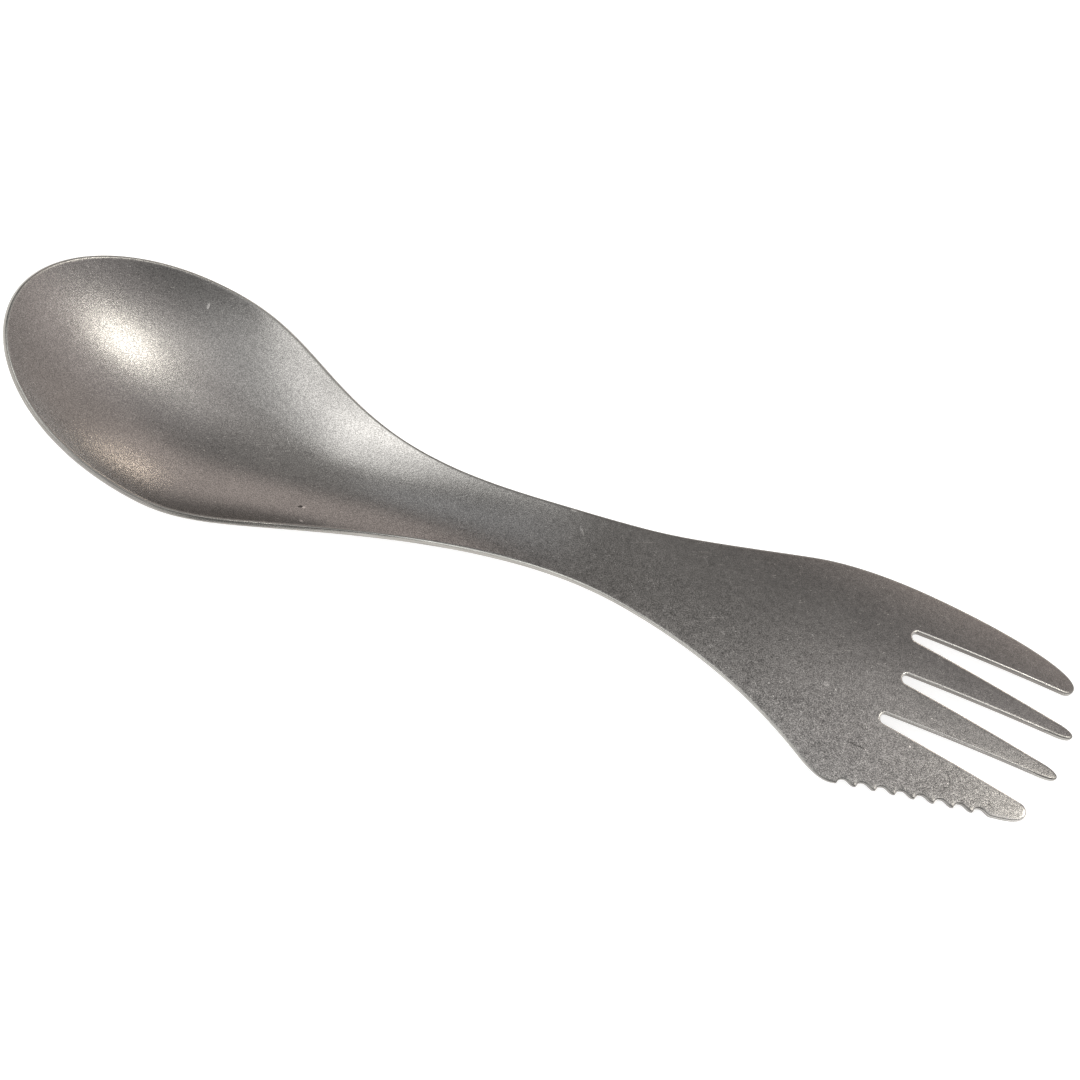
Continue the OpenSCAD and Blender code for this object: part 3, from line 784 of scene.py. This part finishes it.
def addCamera():
    v = cameraView
    a, e, r = (np.radians(v[n]) for n in ("azimuth", "elevation", "roll"))
    back = np.array([np.sin(a) * np.cos(e), -np.cos(a) * np.cos(e), np.sin(e)])
    level = np.array([np.cos(a), np.sin(a), 0])
    upright = np.cross(back, level)
    right = np.cos(r) * level + np.sin(r) * upright
    up = np.cos(r) * upright - np.sin(r) * level
    place = (np.array(v["aim"]) + v["right"] * right + v["up"] * up + v["distance"] * back) * mm
    data = bpy.data.cameras.new("camera")
    data.lens, data.sensor_width = v["lens"], v["sensor"]
    data.clip_start, data.clip_end = v["near"] * mm, v["far"] * mm
    camera = bpy.data.objects.new("camera", data)
    bpy.context.scene.collection.objects.link(camera)
    camera.matrix_world = placed(right, up, back, place)
    bpy.context.scene.camera = camera


# The camera sees the floor white but for the shadow, and metal and glass mirror it white. Its
# size is in metres.
floorLook = {"size": 16.0, "colour": "#dedede", "roughness": 0.9, "glow": 0.70, "mirroredGlow": 0.95}


def addFloor():
    mesh = bpy.data.meshes.new("floor")
    h = floorLook["size"] / 2
    mesh.from_pydata([(-h, -h, 0), (h, -h, 0), (h, h, 0), (-h, h, 0)], [], [(0, 1, 2, 3)])
    floor = bpy.data.objects.new("floor", mesh)
    bpy.context.scene.collection.objects.link(floor)
    material = bpy.data.materials.new("whiteTable")
    material.use_nodes = True
    tree = material.node_tree
    rays = addNode(tree, "LightPath").outputs
    seen = addNode(tree, "Math", {"operation": "MAXIMUM"}, rays["Is Glossy Ray"], rays["Is Transmission Ray"])
    seen = addNode(tree, "Math", multiply, seen, floorLook["mirroredGlow"])
    glow = addNode(tree, "Math", multiplyAdd, rays["Is Camera Ray"], floorLook["glow"], seen)
    shader = tree.nodes["Principled BSDF"]
    for name, value in (("Base Color", linear(floorLook["colour"])), ("Roughness", floorLook["roughness"]),
                        ("Emission Color", (1, 1, 1, 1)), ("Emission Strength", glow)):
        feed(tree, shader.inputs[name], value)
    mesh.materials.append(material)


# The soft lamps of the studio: bearing and height of each as seen from the spork, half its width
# and height as angles, its brightness (1 is white) and its colour. A lamp is round and level
# unless it has a shape or a turn.
lamps = {
    "rightCore": {"bearing": 16.5, "height": 50.4, "half": (7.7, 7.7), "level": 7.0, "colour": "#fffdf5"},
    "rightGlow": {"bearing": 16.5, "height": 50.4, "half": (30, 30), "level": 0.30, "colour": "#fff6f8"},
    "rightSide": {"bearing": -5, "height": 62, "half": (8, 8), "level": 0.94, "colour": "#fefffb"},
    "rightBack": {"bearing": 40, "height": 60, "half": (8, 8), "level": 0.48, "colour": "#fbfffb"},
    "leftPanel": {"bearing": -127.4, "height": 55.3, "turn": 32.9, "half": (11.6, 38.0), "level": 2.14,
                  "colour": "#fdfffe", "shape": "RECTANGLE"},
    "leftSide": {"bearing": -140, "height": 60, "half": (8, 8), "level": 1.76, "colour": "#fffffe"},
    "leftRound": {"bearing": 138.3, "height": 48.9, "half": (8.2, 8.2), "level": 0.66, "colour": "#f2f8ff"},
    "backRight": {"bearing": 42.0, "height": 24.2, "half": (29.0, 15.9), "level": 0.31,
                  "colour": "#ffede5", "shape": "RECTANGLE"},
    "backMiddle": {"bearing": 99.3, "height": 24.2, "half": (29.0, 15.9), "level": 0.53,
                   "colour": "#ffeee7", "shape": "RECTANGLE"},
    "backWarm": {"bearing": 76.0, "height": 13.5, "half": (2.6, 2.6), "level": 8.6, "colour": "#ffeed8"},
    "backLow": {"bearing": 56.0, "height": 13.0, "half": (9.0, 9.0), "level": 0.12, "colour": "#ffece2"},
    "backHigh": {"bearing": 107.0, "height": 66.0, "half": (19.0, 19.0), "level": 0.15, "colour": "#fffaf4"},
    "backTop": {"bearing": 52.0, "height": 72.0, "half": (8.0, 8.0), "level": 0.27, "colour": "#ffffff"},
    "frontLow": {"bearing": -90.0, "height": 10.0, "half": (20.0, 8.5), "level": 0.8,
                 "colour": "#ffffff", "shape": "RECTANGLE"},
    "leftLow": {"bearing": -145.0, "height": 9.5, "half": (35.0, 8.5), "level": 0.75,
                "colour": "#ffffff", "shape": "RECTANGLE"},
    "frontRound": {"bearing": -78.8, "height": 72.2, "half": (20.8, 20.8), "level": 0.57,
                   "colour": "#fcfeff"},
}
studio = {"lampDistance": 5.0, "worldLevel": 0.27}   # metres, and 1 is white


# A lamp's energy is its brightness times pi times its area, which makes it look that bright
def addLamp(name, look):
    a, e, t = (np.radians(look.get(n, 0)) for n in ("bearing", "height", "turn"))
    way = np.array([np.cos(a) * np.cos(e), np.sin(a) * np.cos(e), np.sin(e)])
    level = np.array([-np.sin(a), np.cos(a), 0])
    upright = np.cross(way, level)
    across = np.cos(t) * level + np.sin(t) * upright
    along = np.cos(t) * upright - np.sin(t) * level
    width, length = (2 * studio["lampDistance"] * np.tan(np.radians(h)) for h in look["half"])
    data = bpy.data.lights.new(name, "AREA")
    data.shape, data.size, data.size_y = look.get("shape", "ELLIPSE"), width, length
    area = width * length * (np.pi / 4 if data.shape == "ELLIPSE" else 1)
    data.energy, data.color = look["level"] * np.pi * area, linear(look["colour"])[:3]
    lamp = bpy.data.objects.new(name, data)
    bpy.context.scene.collection.objects.link(lamp)
    lamp.matrix_world = placed(across, along, way, way * studio["lampDistance"])


# The room is one even white, and the lamps stand in it
def addLight():
    world = bpy.data.worlds.new("studio")
    bpy.context.scene.world = world
    world.use_nodes = True
    background = world.node_tree.nodes["Background"]
    background.inputs["Color"].default_value = (1, 1, 1, 1)
    background.inputs["Strength"].default_value = studio["worldLevel"]
    for name, look in lamps.items():
        addLamp(name, look)


addCamera()
piece = makeSpork()
piece.data.materials.append(tumbledTitanium())
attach(piece, "root")
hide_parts("spork")
addFloor()
addLight()
bpy.context.scene.view_settings.view_transform = "Standard"
print("stage: the scene is set")
